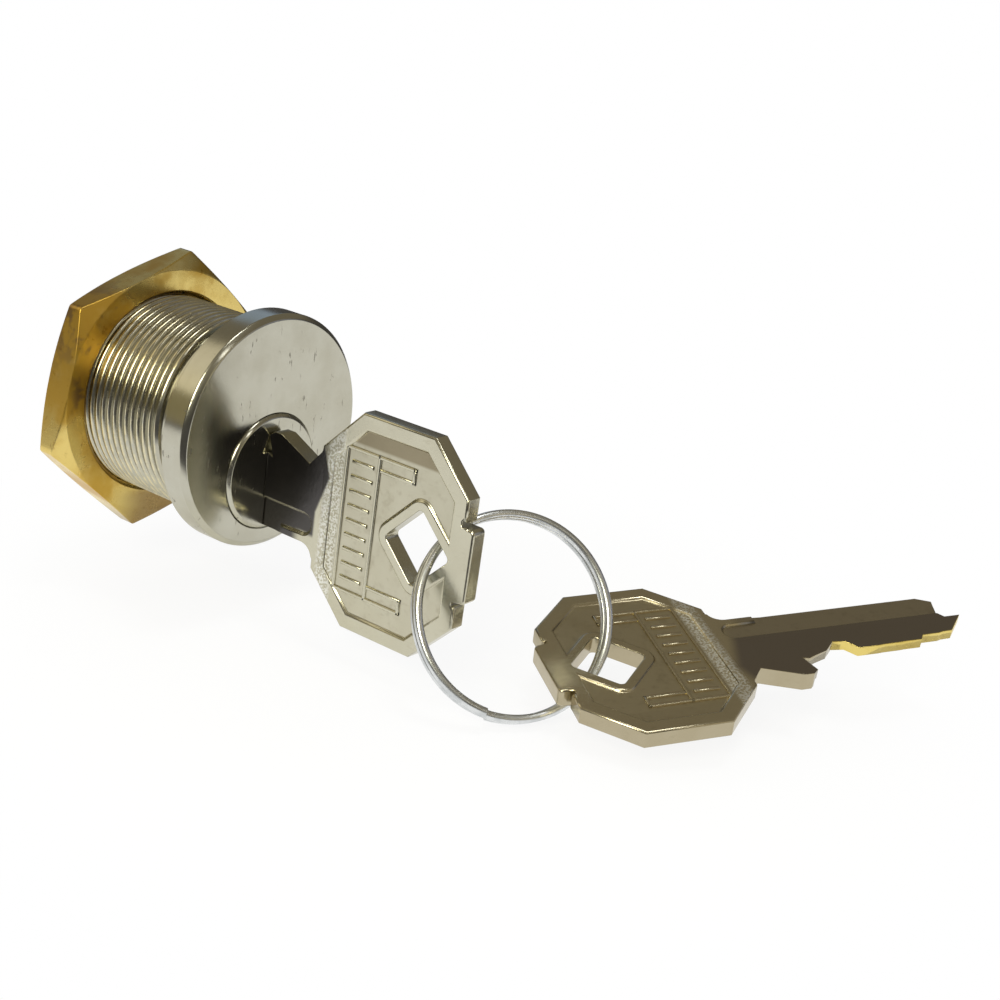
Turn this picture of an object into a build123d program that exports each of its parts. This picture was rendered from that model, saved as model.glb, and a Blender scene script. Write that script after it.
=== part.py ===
from build123d import *
import os
from math import cos, radians, sin, sqrt

# Cabinet lock: a threaded pin tumbler cylinder with hex nut, cam, two keys and a split ring.
# Millimetres. The origin is on the barrel axis at the back face of the flange, where the panel
# ends. -Y points out of the panel to the user, +Y into the cabinet, +Z to the pin chambers.

# Housing
FLANGE_R = 14.0
FLANGE_T = 3.5
FLANGE_CHAMFER = 0.55
BARREL_R = 12.0
BARREL_L = 21.0
BARREL_CHAMFER = 0.8
SHANK_L = 2.2
RELIEF_W = 0.5
RELIEF_R = 11.45

# Thread, drawn as rings at its own pitch
THREAD_PITCH = 1.0
CREST_COUNT = 17
FIRST_CREST_Y = 3.55
THREAD_ROOT_R = 11.39
CREST_W = 0.15
CREST_FOOT_W = 0.86

# Plug: the part that the key turns, on its own axis below the barrel axis
PLUG_DROP = 4.7
PLUG_R = 6.4
RUNNING_GAP = 0.03
COLLAR_R = 6.97
COLLAR_SEAT = 1.6
COLLAR_PROUD = 0.4
COLLAR_CHAMFER = 0.35
PLUG_END = 19.95
TAIL_R = 3.5
TAIL_FLATS = 5.0
TAIL_END = 22.8
TAPPED_R = 2.0
TAPPED_DEPTH = 3.4

# Pin chambers, drilled down through the barrel wall and the plug
PIN_COUNT = 5
PIN_PITCH = 2.8
FIRST_PIN_Y = 4.1
CHAMBER_R = 1.30
CHAMBER_FLOOR_GAP = 0.1
PIN_R = 1.25
PIN_POINT_R = 0.45
SHEAR_GAP = 0.03
DRIVER_L = 4.6
DRIVER_CHAMFER = 0.2
CHAMBER_PLUG_Z = 10.2

# Springs over the driver pins
SPRING_R = 0.92
SPRING_WIRE_R = 0.15
SPRING_TURNS = 4.5
SPRING_END_GAP = 0.03

# Turn limit: a lug on the stop washer runs in a sector milled in the rear of the barrel
TURN_RANGE = 90.0
STOP_LUG_R = 8.05
STOP_LUG_HALF_ANGLE = 14.0
STOP_SLACK_ANGLE = 0.4
STOP_SECTOR_R = 8.2
STOP_SECTOR_DEPTH = 1.1
STOP_WASHER_T = 1.15
STOP_WASHER_R = 5.9

# Cam and the screw that holds it
CAM_T = 1.8
CAM_HUB_R = 6.0
CAM_END_R = 4.0
CAM_REACH = 15.3
FLAT_GAP = 0.03
LOCK_WASHER_T = 0.8
LOCK_WASHER_R = 3.6
LOCK_WASHER_SLIT = 0.7
LOCK_WASHER_BORE_R = 2.1
SCREW_R = 1.97
SCREW_HEAD_R = 3.5
SCREW_HEAD_H = 2.2
SCREW_CROSS_W = 0.9
SCREW_CROSS_L = 4.2
SCREW_CROSS_DEPTH = 0.7
SCREW_HEAD_ROUND = 0.8
SCREW_TIP_GAP = 0.2

# Hex nut
NUT_ACROSS_FLATS = 30.0
NUT_T = 3.8
NUT_FRONT = 14.8
NUT_FACE_R = 15.05
NUT_CORNER_DROP = 0.95
NUT_BORE_GAP = 0.04
NUT_BORE_CHAMFER = 0.5
NUT_TURN = 19.7

# Keys: u runs from the head's centre to the tip, s to the plain edge, w through the thickness
KEY_T = 2.2
KEY_CENTRE_Y = -22.6
KEY_CENTRE_Z = -6.3
HEAD_HALF_LENGTH = 10.5
HEAD_HALF_WIDTH = 12.8
HEAD_FLAT_LENGTH = 5.1
HEAD_FLAT_WIDTH = 7.4
HEAD_BORDER = 1.8
HEAD_RECESS = 0.3
HOLE_CENTRE = -4.4
HOLE_SIDE = 6.45
HOLE_CORNER_R = 0.6
HOLE_BORDER = 1.05
EDGE_BLOCK_HALF = 4.3
EDGE_BLOCK_OUT = 1.25
EDGE_BLOCK_IN = 1.0
EDGE_BLOCK_ROUND = 0.6
EDGE_NOTCH_W = 0.6
EDGE_NOTCH_DEPTH = 0.5
NECK_R = 1.8
NECK_SPINE = 4.75
NECK_END = 15.2
SPINE = 4.6
SPINE_START = 16.8
BLADE_H = 8.8
BLADE_START = 10.5
STOP_TAB_END = 18.65
STOP_TAB_OUT = -6.9
STOP_TAB_SLOPE = (12.2, -4.8)
STOP_TAB_TOP = (16.7, 17.9)
STOP_TAB_CHAMFER = -6.3
HEAD_SHOULDER = -6.6
NOTCH_CORNER = (17.95, -3.85)
RELIEF = [(19.75, -3.75), (21.4, -3.2), (22.9, -1.8), (24.5, -2.05)]
CUT_HEIGHTS = [8.1, 8.05, 8.0, 7.25, 7.1]
CUT_FLAT = 0.55
CUT_RAMP = 0.6
TIP = [(38.65, -2.45), (41.4, 0.3), (39.3, 0.3), (38.6, 1.3), (39.5, 3.7), (37.9, SPINE)]
BLADE_TIP = 41.4
SIDE_STEP_LOW = 1.15
SIDE_STEP_HIGH = 3.9
SIDE_STEP_DEPTH = 0.35
SIDE_STEP_START = 10.9
SIDE_STEP_OPEN = 15.6
BACK_STEP_HIGH = 0.5
BACK_STEP_DEPTH = 1.0
BACK_STEP_START = 18.3
KEYWAY_GAP = 0.06
KEYWAY_END = 18.95
KEYWAY_OPEN = 0.4

# Split ring: nearly two turns of round wire, threaded through the holes of both keys
RING_R = 11.3
RING_WIRE_R = 0.5
RING_PITCH = 1.04
RING_TURNS = 1.85
RING_CENTRE = (5.47, -36.58, -12.42)
RING_AXIS = (-0.474, -0.712, 0.518)

# Spare key, carried on the ring
SPARE_CENTRE = (15.95, -47.86, -16.72)
SPARE_BLADE = (0.825, -0.553, 0.113)
SPARE_FACE = (-0.195, -0.091, 0.977)

HEX_SIDES = 6
SEAM_TURN = 90.0
PLUG_AXIS_Z = -PLUG_DROP
SPINE_Z = KEY_CENTRE_Z - SPINE
PIN_YS = [FIRST_PIN_Y + i * PIN_PITCH for i in range(PIN_COUNT)]
PIN_US = [y - KEY_CENTRE_Y for y in PIN_YS]
SHEAR_Z = PLUG_AXIS_Z + PLUG_R
DRIVER_FOOT_Z = SHEAR_Z + SHEAR_GAP


def rod(radius, y_from, y_to, z=0.0):
    """Solid cylinder along Y, from one Y to another, on the axis at height z."""
    plane = Plane(origin=(0, y_from, z), x_dir=(1, 0, 0), z_dir=(0, 1, 0))
    return extrude(plane * Circle(radius), amount=y_to - y_from)


def upright(radius, y, z_from, z_to):
    """Solid cylinder along Z at X = 0."""
    return extrude(Plane.XY.offset(z_from) * Pos(0, y) * Circle(radius), amount=z_to - z_from)


def plate(sketch, y_from, y_to):
    """Extrude a sketch drawn in X and Z (seen from the front) along Y."""
    plane = Plane(origin=(0, y_from, 0), x_dir=(1, 0, 0), z_dir=(0, -1, 0))
    return extrude(plane * sketch, amount=y_from - y_to)


def double_d(radius, flats):
    """Circle with two parallel flats, on the plug axis."""
    shape = Circle(radius) & Rectangle(flats, 2 * radius)
    return Pos(0, PLUG_AXIS_Z) * shape


def sector(radius, half_angle):
    """Pie slice about the plug axis, centred on straight up."""
    reach = 2 * radius
    edge = (reach * sin(radians(half_angle)), reach * cos(radians(half_angle)))
    wedge = make_face(Polyline((0, 0), edge, (-edge[0], edge[1]), close=True))
    return Pos(0, PLUG_AXIS_Z) * (Circle(radius) & wedge)


def make_blank():
    """Housing as it comes off the lathe: flange, shank, relief and thread in one turned form."""
    points = [
        (0, -FLANGE_T), (FLANGE_R - FLANGE_CHAMFER, -FLANGE_T),
        (FLANGE_R, -FLANGE_T + FLANGE_CHAMFER), (FLANGE_R, 0), (BARREL_R, 0),
        (BARREL_R, SHANK_L), (RELIEF_R, SHANK_L), (RELIEF_R, SHANK_L + RELIEF_W),
    ]
    for turn in range(CREST_COUNT):
        y = FIRST_CREST_Y + turn * THREAD_PITCH
        points.append((THREAD_ROOT_R, y - CREST_FOOT_W / 2))
        points.append((BARREL_R, y - CREST_W / 2))
        points.append((BARREL_R, y + CREST_W / 2))
        points.append((THREAD_ROOT_R, y + CREST_FOOT_W / 2))
    points.append((BARREL_R - BARREL_CHAMFER, BARREL_L))
    points.append((0, BARREL_L))
    turned = revolve(make_face(Polyline(*points, close=True)), Axis.Y)
    return turned.rotate(Axis.Y, SEAM_TURN)


def make_housing(blank):
    body = blank - rod(PLUG_R + RUNNING_GAP, -FLANGE_T, BARREL_L, PLUG_AXIS_Z)
    body -= rod(COLLAR_R + 2 * RUNNING_GAP, -FLANGE_T, -FLANGE_T + COLLAR_SEAT, PLUG_AXIS_Z)
    for y in PIN_YS:
        body -= upright(CHAMBER_R, y, PLUG_AXIS_Z, BARREL_R + 1)
    half = TURN_RANGE / 2 + STOP_LUG_HALF_ANGLE + STOP_SLACK_ANGLE
    body -= plate(sector(STOP_SECTOR_R, half), BARREL_L - STOP_SECTOR_DEPTH, BARREL_L)
    return body


def keyway_section(low):
    """Keyway seen from the front: the blade's section with a sliding gap, from low upwards."""
    half = KEY_T / 2 + KEYWAY_GAP
    high = SPINE_Z + BLADE_H + KEYWAY_GAP
    step_x = -KEY_T / 2 + SIDE_STEP_DEPTH - KEYWAY_GAP
    step_z = KEY_CENTRE_Z - SIDE_STEP_LOW - KEYWAY_GAP
    back_x = KEY_T / 2 - BACK_STEP_DEPTH + KEYWAY_GAP
    back_z = KEY_CENTRE_Z - BACK_STEP_HIGH + KEYWAY_GAP
    return make_face(Polyline(
        (step_x, low), (half, low), (half, back_z), (back_x, back_z),
        (back_x, high), (-half, high), (-half, step_z), (step_x, step_z),
        close=True,
    ))


def make_plug():
    face_y = -FLANGE_T - COLLAR_PROUD
    collar = rod(COLLAR_R, face_y, -FLANGE_T + COLLAR_SEAT - RUNNING_GAP, PLUG_AXIS_Z)
    collar = chamfer(collar.edges().sort_by(Axis.Y)[0], COLLAR_CHAMFER)
    plug = collar + rod(PLUG_R, face_y + 1, PLUG_END, PLUG_AXIS_Z)
    plug += plate(double_d(TAIL_R, TAIL_FLATS), PLUG_END - 1, TAIL_END)
    plug -= plate(keyway_section(SPINE_Z - KEYWAY_GAP), face_y - 1, KEYWAY_END)
    open_from = -FLANGE_T + COLLAR_SEAT + KEYWAY_OPEN
    plug -= plate(keyway_section(PLUG_AXIS_Z - PLUG_R - 1), open_from, KEYWAY_END)
    chamber_floor = SPINE_Z + min(CUT_HEIGHTS) - CHAMBER_FLOOR_GAP
    for y in PIN_YS:
        plug -= upright(CHAMBER_R, y, chamber_floor, SHEAR_Z + 1)
    plug -= rod(TAPPED_R, TAIL_END - TAPPED_DEPTH, TAIL_END, PLUG_AXIS_Z)
    return plug


def make_key_pin(index):
    """Bottom pin: a cone that sits in its cut, and a top trimmed to the plug's round surface."""
    foot = SPINE_Z + CUT_HEIGHTS[index] + SHEAR_GAP
    cone_h = PIN_R - PIN_POINT_R
    profile = make_face(Polyline(
        (0, foot), (PIN_POINT_R, foot), (PIN_R, foot + cone_h), (PIN_R, SHEAR_Z), (0, SHEAR_Z),
        close=True,
    ))
    pin = Pos(0, PIN_YS[index], 0) * revolve(Plane.XZ * profile, Axis.Z)
    return pin & rod(PLUG_R - RUNNING_GAP, 0, PLUG_END, PLUG_AXIS_Z)


def make_driver_pin(index):
    pin = upright(PIN_R, PIN_YS[index], DRIVER_FOOT_Z, DRIVER_FOOT_Z + DRIVER_L)
    return chamfer(pin.edges().filter_by(GeomType.CIRCLE), DRIVER_CHAMFER)


def make_pin_spring(index):
    low = DRIVER_FOOT_Z + DRIVER_L + SPRING_WIRE_R + SPRING_END_GAP
    height = CHAMBER_PLUG_Z - SPRING_WIRE_R - SPRING_END_GAP - low
    path = Helix(height / SPRING_TURNS, height, SPRING_R)
    start = Plane(origin=path @ 0, z_dir=path % 0)
    wire = sweep(start * Circle(SPRING_WIRE_R), path, is_frenet=True)
    return Pos(0, PIN_YS[index], low) * wire


def make_chamber_plug(index, blank):
    """Plug that closes a chamber. The thread was cut after it went in, so it has the thread too."""
    return upright(PIN_R, PIN_YS[index], CHAMBER_PLUG_Z, BARREL_R + 1) & blank


def make_stop_washer():
    lug = sector(STOP_LUG_R, STOP_LUG_HALF_ANGLE)
    to_plug_axis = Pos(0, PLUG_AXIS_Z)
    lug = to_plug_axis * Rot(0, 0, TURN_RANGE / 2) * (to_plug_axis.inverse() * lug)
    outline = to_plug_axis * Circle(STOP_WASHER_R) + lug
    outline -= double_d(TAIL_R + FLAT_GAP, TAIL_FLATS + 2 * FLAT_GAP)
    return plate(outline, PLUG_END, PLUG_END + STOP_WASHER_T)


def make_cam():
    hub = Circle(CAM_HUB_R)
    end = Pos(0, CAM_REACH - CAM_END_R) * Circle(CAM_END_R)
    outline = Pos(0, PLUG_AXIS_Z) * make_hull((hub + end).edges())
    outline -= double_d(TAIL_R + FLAT_GAP, TAIL_FLATS + 2 * FLAT_GAP)
    front = PLUG_END + STOP_WASHER_T
    return plate(outline, front, front + CAM_T)


def make_cam_lock_washer():
    front = PLUG_END + STOP_WASHER_T + CAM_T
    ring = rod(LOCK_WASHER_R, front, front + LOCK_WASHER_T, PLUG_AXIS_Z)
    ring -= rod(LOCK_WASHER_BORE_R, front, front + LOCK_WASHER_T, PLUG_AXIS_Z)
    slit = Box(LOCK_WASHER_R, 3 * LOCK_WASHER_T, LOCK_WASHER_SLIT)
    return ring - Pos(LOCK_WASHER_R / 2 + 1, front, PLUG_AXIS_Z) * slit


def make_cam_screw():
    seat = PLUG_END + STOP_WASHER_T + CAM_T + LOCK_WASHER_T
    head = rod(SCREW_HEAD_R, seat, seat + SCREW_HEAD_H, PLUG_AXIS_Z)
    head = fillet(head.edges().sort_by(Axis.Y)[-1], SCREW_HEAD_ROUND)
    tip = TAIL_END - TAPPED_DEPTH + SCREW_TIP_GAP
    screw = head + rod(SCREW_R, tip, seat, PLUG_AXIS_Z)
    deep = 2 * SCREW_CROSS_DEPTH
    for size in ((SCREW_CROSS_L, deep, SCREW_CROSS_W), (SCREW_CROSS_W, deep, SCREW_CROSS_L)):
        screw -= Pos(0, seat + SCREW_HEAD_H, PLUG_AXIS_Z) * Box(*size)
    return screw


def make_hex_nut():
    """Hexagon trimmed by a double cone, so the chamfer curves show on its flats."""
    corner_r = NUT_ACROSS_FLATS / 2 / cos(radians(180 / HEX_SIDES))
    outline = Rot(0, 0, NUT_TURN) * RegularPolygon(corner_r, HEX_SIDES)
    back = NUT_FRONT + NUT_T
    nut = plate(outline, NUT_FRONT, back)
    cone = make_face(Polyline(
        (0, NUT_FRONT), (NUT_FACE_R, NUT_FRONT), (corner_r, NUT_FRONT + NUT_CORNER_DROP),
        (corner_r, back - NUT_CORNER_DROP), (NUT_FACE_R, back), (0, back),
        close=True,
    ))
    nut &= revolve(cone, Axis.Y)
    bore_r = BARREL_R + NUT_BORE_GAP
    mouth_r = bore_r + NUT_BORE_CHAMFER
    bore = make_face(Polyline(
        (0, NUT_FRONT), (mouth_r, NUT_FRONT), (bore_r, NUT_FRONT + NUT_BORE_CHAMFER),
        (bore_r, back - NUT_BORE_CHAMFER), (mouth_r, back), (0, back),
        close=True,
    ))
    return nut - revolve(bore, Axis.Y)


def head_outline():
    """Octagonal key head."""
    a, b = HEAD_HALF_LENGTH, HEAD_FLAT_LENGTH
    c, d = HEAD_HALF_WIDTH, HEAD_FLAT_WIDTH
    return make_face(Polyline(
        (a, d), (b, c), (-b, c), (-a, d), (-a, -d), (-b, -c), (b, -c), (a, -d), close=True,
    ))


def head_hole(grow=0.0):
    """Square hole standing on its corner."""
    side = HOLE_SIDE + 2 * grow
    square = RectangleRounded(side, side, HOLE_CORNER_R + grow)
    return Pos(HOLE_CENTRE, 0) * Rot(0, 0, 45) * square


def bitting_points():
    """Cut edge from the stop tab to the tip: no cut is higher than the one before it."""
    points = [NOTCH_CORNER, (STOP_TAB_END, SPINE - BLADE_H)] + RELIEF
    height_before = CUT_HEIGHTS[0]
    for u, height in zip(PIN_US, CUT_HEIGHTS):
        points.append((u - CUT_FLAT - CUT_RAMP, SPINE - height_before))
        points.append((u - CUT_FLAT, SPINE - height))
        height_before = height
    return points


def blade_outline():
    """Neck, stop tab, cut edge, tip and plain back edge of the blade."""
    neck_top = NECK_SPINE + NECK_R
    inside_head = BLADE_START - 1
    neck = ThreePointArc(
        (BLADE_START, neck_top),
        (BLADE_START + NECK_R * (1 - sqrt(0.5)), neck_top - NECK_R * sqrt(0.5)),
        (BLADE_START + NECK_R, NECK_SPINE),
    )
    rest = Polyline(
        (BLADE_START + NECK_R, NECK_SPINE), (NECK_END, NECK_SPINE), (SPINE_START, SPINE),
        *reversed(TIP), *reversed(bitting_points()),
        (STOP_TAB_END, STOP_TAB_CHAMFER), (STOP_TAB_TOP[1], STOP_TAB_OUT),
        (STOP_TAB_TOP[0], STOP_TAB_OUT), STOP_TAB_SLOPE,
        (BLADE_START, HEAD_SHOULDER), (inside_head, HEAD_SHOULDER), (inside_head, neck_top),
        (BLADE_START, neck_top),
    )
    return make_face(Curve() + [neck, rest])


def edge_block():
    """Raised block on the far edge of the head, with a narrow notch at each end."""
    length = EDGE_BLOCK_OUT + EDGE_BLOCK_IN
    place = Pos(-HEAD_HALF_LENGTH - EDGE_BLOCK_OUT + length / 2, 0)
    block = place * Rectangle(length, 2 * EDGE_BLOCK_HALF)
    return fillet(block.vertices().group_by(Axis.X)[0], EDGE_BLOCK_ROUND)


def edge_notches():
    """The two notches beside the raised block."""
    cut = Rectangle(2 * EDGE_NOTCH_DEPTH, EDGE_NOTCH_W)
    offset_s = EDGE_BLOCK_HALF + EDGE_NOTCH_W / 2
    return [Pos(-HEAD_HALF_LENGTH, side * offset_s) * cut for side in (-1, 1)]


def side_step():
    """Milled step along the plain edge, with the rounded end that the cutter leaves."""
    past_tip = BLADE_TIP + 1
    width = SIDE_STEP_HIGH - SIDE_STEP_LOW
    run_in = past_tip - SIDE_STEP_START
    slot = Pos(SIDE_STEP_START + run_in / 2, SIDE_STEP_LOW + width / 2) * SlotOverall(run_in, width)
    open_w = 2 * (SPINE - SIDE_STEP_LOW)
    open_l = past_tip - SIDE_STEP_OPEN
    opened = Pos(SIDE_STEP_OPEN + open_l / 2, SIDE_STEP_LOW + open_w / 2)
    return slot + opened * Rectangle(open_l, open_w)


def back_step():
    """Milled step on the other face, which leaves the cut edge about half as thick."""
    length = BLADE_TIP + 1 - BACK_STEP_START
    width = 2 * (SPINE - BLADE_H)
    place = Pos(BACK_STEP_START + length / 2, BACK_STEP_HIGH + width / 2)
    return place * Rectangle(length, -width)


def make_key():
    """One key lying in its own u, s, w axes, centred on the head."""
    outline = head_outline() + blade_outline() + edge_block()
    for notch in edge_notches():
        outline -= notch
    outline -= head_hole()
    key = extrude(Plane.XY.offset(-KEY_T / 2) * outline, amount=KEY_T)
    field = offset(head_outline(), -HEAD_BORDER, kind=Kind.INTERSECTION) - head_hole(HOLE_BORDER)
    for side in (-1, 1):
        key -= Pos(0, 0, side * KEY_T / 2) * extrude(field, HEAD_RECESS, both=True)
    key -= Pos(0, 0, KEY_T / 2) * extrude(side_step(), SIDE_STEP_DEPTH, both=True)
    return key - Pos(0, 0, -KEY_T / 2) * extrude(back_step(), BACK_STEP_DEPTH, both=True)


def make_inserted_key():
    place = Plane(origin=(0, KEY_CENTRE_Y, KEY_CENTRE_Z), x_dir=(0, 1, 0), z_dir=(-1, 0, 0))
    return place.location * make_key()


def make_spare_key():
    place = Plane(origin=SPARE_CENTRE, x_dir=SPARE_BLADE, z_dir=SPARE_FACE)
    return place.location * make_key()


def make_key_ring():
    height = RING_PITCH * RING_TURNS
    path = Helix(RING_PITCH, height, RING_R)
    start = Plane(origin=path @ 0, z_dir=path % 0)
    coil = sweep(start * Circle(RING_WIRE_R), path, is_frenet=True)
    place = Plane(origin=RING_CENTRE, x_dir=(0, 0, -1), z_dir=RING_AXIS)
    return place.location * Pos(0, 0, -height / 2) * coil


def main():
    os.makedirs("parts", exist_ok=True)
    blank = make_blank()
    nodes = {
        "housing": make_housing(blank),
        "plug": make_plug(),
        "stop_washer": make_stop_washer(),
        "cam": make_cam(),
        "cam_lock_washer": make_cam_lock_washer(),
        "cam_screw": make_cam_screw(),
        "hex_nut": make_hex_nut(),
        "inserted_key": make_inserted_key(),
        "key_ring": make_key_ring(),
        "spare_key": make_spare_key(),
    }
    for index in range(PIN_COUNT):
        nodes[f"key_pin_{index + 1}"] = make_key_pin(index)
        nodes[f"driver_pin_{index + 1}"] = make_driver_pin(index)
        nodes[f"pin_spring_{index + 1}"] = make_pin_spring(index)
        nodes[f"chamber_plug_{index + 1}"] = make_chamber_plug(index, blank)
    for name, shape in nodes.items():
        export_step(shape, f"parts/{name}.step")


main()
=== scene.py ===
# %% [markdown]
# # A cabinet lock with two keys on a split ring
# The lock is a nickel plated cylinder that goes through a panel and is held by a brass hex nut.
# Its plug turns a cam behind the panel. The CAD model gives every piece its place and size, so this
# script only adds what the CAD leaves out: the thread, softened edges, stamped detail, finishes,
# and a small studio to look at it in. Lengths are in millimetres and are multiplied by MM where
# Blender wants metres.

from math import cos, exp, hypot, log, pi, radians, sin

import bmesh
import bpy
from mathutils import Matrix, Vector


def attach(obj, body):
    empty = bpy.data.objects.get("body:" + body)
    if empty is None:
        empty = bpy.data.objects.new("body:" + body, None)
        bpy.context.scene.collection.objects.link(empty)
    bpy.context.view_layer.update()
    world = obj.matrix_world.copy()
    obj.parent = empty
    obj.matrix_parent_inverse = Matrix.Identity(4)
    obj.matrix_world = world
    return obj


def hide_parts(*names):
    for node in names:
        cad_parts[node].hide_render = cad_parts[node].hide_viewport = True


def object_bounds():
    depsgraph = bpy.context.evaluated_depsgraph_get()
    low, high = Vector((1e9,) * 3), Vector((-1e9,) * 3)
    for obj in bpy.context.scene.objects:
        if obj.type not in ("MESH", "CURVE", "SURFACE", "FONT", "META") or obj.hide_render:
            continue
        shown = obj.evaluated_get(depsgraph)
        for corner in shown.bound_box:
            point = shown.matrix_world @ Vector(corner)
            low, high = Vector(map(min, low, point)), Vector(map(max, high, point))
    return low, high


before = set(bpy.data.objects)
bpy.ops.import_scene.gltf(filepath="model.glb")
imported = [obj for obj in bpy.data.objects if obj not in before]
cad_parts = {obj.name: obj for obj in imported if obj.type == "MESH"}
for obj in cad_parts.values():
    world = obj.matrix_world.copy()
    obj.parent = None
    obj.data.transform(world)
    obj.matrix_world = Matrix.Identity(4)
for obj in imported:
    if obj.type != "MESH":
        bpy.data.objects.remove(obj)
cad_box = [list(corner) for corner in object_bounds()]
MM = 0.001

# %% [markdown]
# ## The camera
# The picture was taken from close by, so the near key looks larger than the nut. A long lens from
# far away would lose that. The camera therefore stands about 19 cm from the lock, and it leans a
# little to one side, as a camera held in the hand does.

# %% Place the camera
CAMERA_PLACE_M = (-0.13044, -0.12526, 0.05402)
CAMERA_TURN_DEG = (71.586, -8.081, -53.012)
SENSOR_WIDTH = 36.0
LENS_TO_SENSOR = 1.5916
NEAREST_SEEN_M = 0.01

camera_data = bpy.data.cameras.new("camera")
camera_data.sensor_width = SENSOR_WIDTH
camera_data.lens = LENS_TO_SENSOR * SENSOR_WIDTH
camera_data.clip_start = NEAREST_SEEN_M
camera = bpy.data.objects.new("camera", camera_data)
camera.location = CAMERA_PLACE_M
camera.rotation_euler = [radians(angle) for angle in CAMERA_TURN_DEG]
bpy.context.scene.collection.objects.link(camera)
bpy.context.scene.camera = camera
print("lens in mm:", round(camera_data.lens, 2))

# %% [markdown]
# ## Arithmetic for materials
# A material is a web of nodes. Written out link by link it is hard to read, so one small class
# wraps a socket. Adding or multiplying two of them adds a Math node, and `node` adds any other
# kind. A line of Python then reads like the formula it stands for.

# %% A socket that can be calculated with
class Wire:
    def __init__(self, tree, socket=None):
        self.tree = tree
        self.socket = socket

    def node(self, kind, settings=None, values=None, output=0):
        """Adds one node: settings first, then numbers or links for its sockets."""
        made = self.tree.nodes.new(kind)
        for name, value in (settings or {}).items():
            setattr(made, name, value)
        for name, value in (values or {}).items():
            if isinstance(value, Wire):
                self.tree.links.new(value.socket, made.inputs[name])
            else:
                made.inputs[name].default_value = value
        return Wire(self.tree, made.outputs[output] if made.outputs else None)

    def __add__(self, other):
        return self.node("ShaderNodeMath", {"operation": "ADD"}, {0: self, 1: other})

    def __radd__(self, other):
        return self.node("ShaderNodeMath", {"operation": "ADD"}, {0: other, 1: self})

    def __sub__(self, other):
        return self.node("ShaderNodeMath", {"operation": "SUBTRACT"}, {0: self, 1: other})

    def __rsub__(self, other):
        return self.node("ShaderNodeMath", {"operation": "SUBTRACT"}, {0: other, 1: self})

    def __mul__(self, other):
        return self.node("ShaderNodeMath", {"operation": "MULTIPLY"}, {0: self, 1: other})

    def __rmul__(self, other):
        return self.node("ShaderNodeMath", {"operation": "MULTIPLY"}, {0: other, 1: self})


# %% [markdown]
# A few words that every material below uses. First, how a material is opened and closed, and how
# a place on the object is measured.

# %% Words for materials and places
def open_material(name):
    material = bpy.data.materials.new(name)
    material.use_nodes = True
    material.node_tree.nodes.clear()
    return material, Wire(material.node_tree)


def set_surface(start, surface):
    start.node("ShaderNodeOutputMaterial", {}, {"Surface": surface})


def set_metal(start, colour, roughness, normal):
    set_surface(start, start.node("ShaderNodeBsdfPrincipled", {}, {
        "Base Color": colour, "Metallic": 1.0, "Roughness": roughness, "Normal": normal}))


def millimetres(start):
    """Where a point lies on the object, in millimetres."""
    place = start.node("ShaderNodeTexCoord", {}, {}, "Object")
    return place.node("ShaderNodeVectorMath", {"operation": "SCALE"}, {0: place, "Scale": 1 / MM})


def stretched(place, scale):
    return place.node("ShaderNodeVectorMath", {"operation": "MULTIPLY"}, {0: place, 1: scale})


def length_of(place):
    return place.node("ShaderNodeVectorMath", {"operation": "LENGTH"}, {0: place}, "Value")


def parts_of(place):
    """The three numbers of a place, as wires."""
    return [place.node("ShaderNodeSeparateXYZ", {}, {"Vector": place}, axis) for axis in "XYZ"]


# %% [markdown]
# Then noise, a soft step between two values, a blend of two colours, and a bump.

# %% Words for patterns
def noise(place, scale, detail=3.0, rough=0.55):
    return place.node("ShaderNodeTexNoise", {}, {
        "Vector": place, "Scale": scale, "Detail": detail, "Roughness": rough, "Distortion": 0.0})


def step(value, low, high):
    """0 below low, 1 above high, and smooth between them."""
    return value.node("ShaderNodeMapRange", {"interpolation_type": "SMOOTHSTEP"}, {
        "Value": value, "From Min": low, "From Max": high, "To Min": 0.0, "To Max": 1.0})


def absolute(value):
    return value.node("ShaderNodeMath", {"operation": "ABSOLUTE"}, {0: value})


def at_least(value, least):
    return value.node("ShaderNodeMath", {"operation": "MAXIMUM"}, {0: value, 1: least})


def colour_between(first, second, share):
    """A blend of two colours, each a tuple or a link."""
    pair = [c if isinstance(c, Wire) else (*c, 1.0) for c in (first, second)]
    return share.node(
        "ShaderNodeMix", {"data_type": "RGBA"}, {0: share, 6: pair[0], 7: pair[1]}, 2)


def bump(height, strength, depth_mm):
    return height.node("ShaderNodeBump", {}, {
        "Strength": strength, "Distance": depth_mm * MM, "Height": height})


# %% [markdown]
# ## Nickel plate
# The housing and the plug are turned from brass and plated with nickel. Plate is a warm grey. It is
# never an even mirror: it is a little cloudy, and it has short dark scuffs where panels and keys
# have touched it. The crests of the thread have lost their plate, so they look more yellow, and
# they are painted paler still as a painted highlight. The grooves between them are painted darker
# as shade.

# %% Nickel plate, with an optional worn thread and its painted highlight and shade
THREAD_START = 2.75
THREAD_END = 20.4
CREST_R = 12.0
ROOT_R = 11.39
PALE_NICKEL = (0.530, 0.515, 0.425)
CLOUDY_NICKEL = (0.490, 0.470, 0.375)
SCUFF_GREY = (0.20, 0.185, 0.145)
WORN_YELLOW_AND_HIGHLIGHT = (0.80, 0.72, 0.47)
GROOVE_SHADE = (0.22, 0.20, 0.155)


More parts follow.
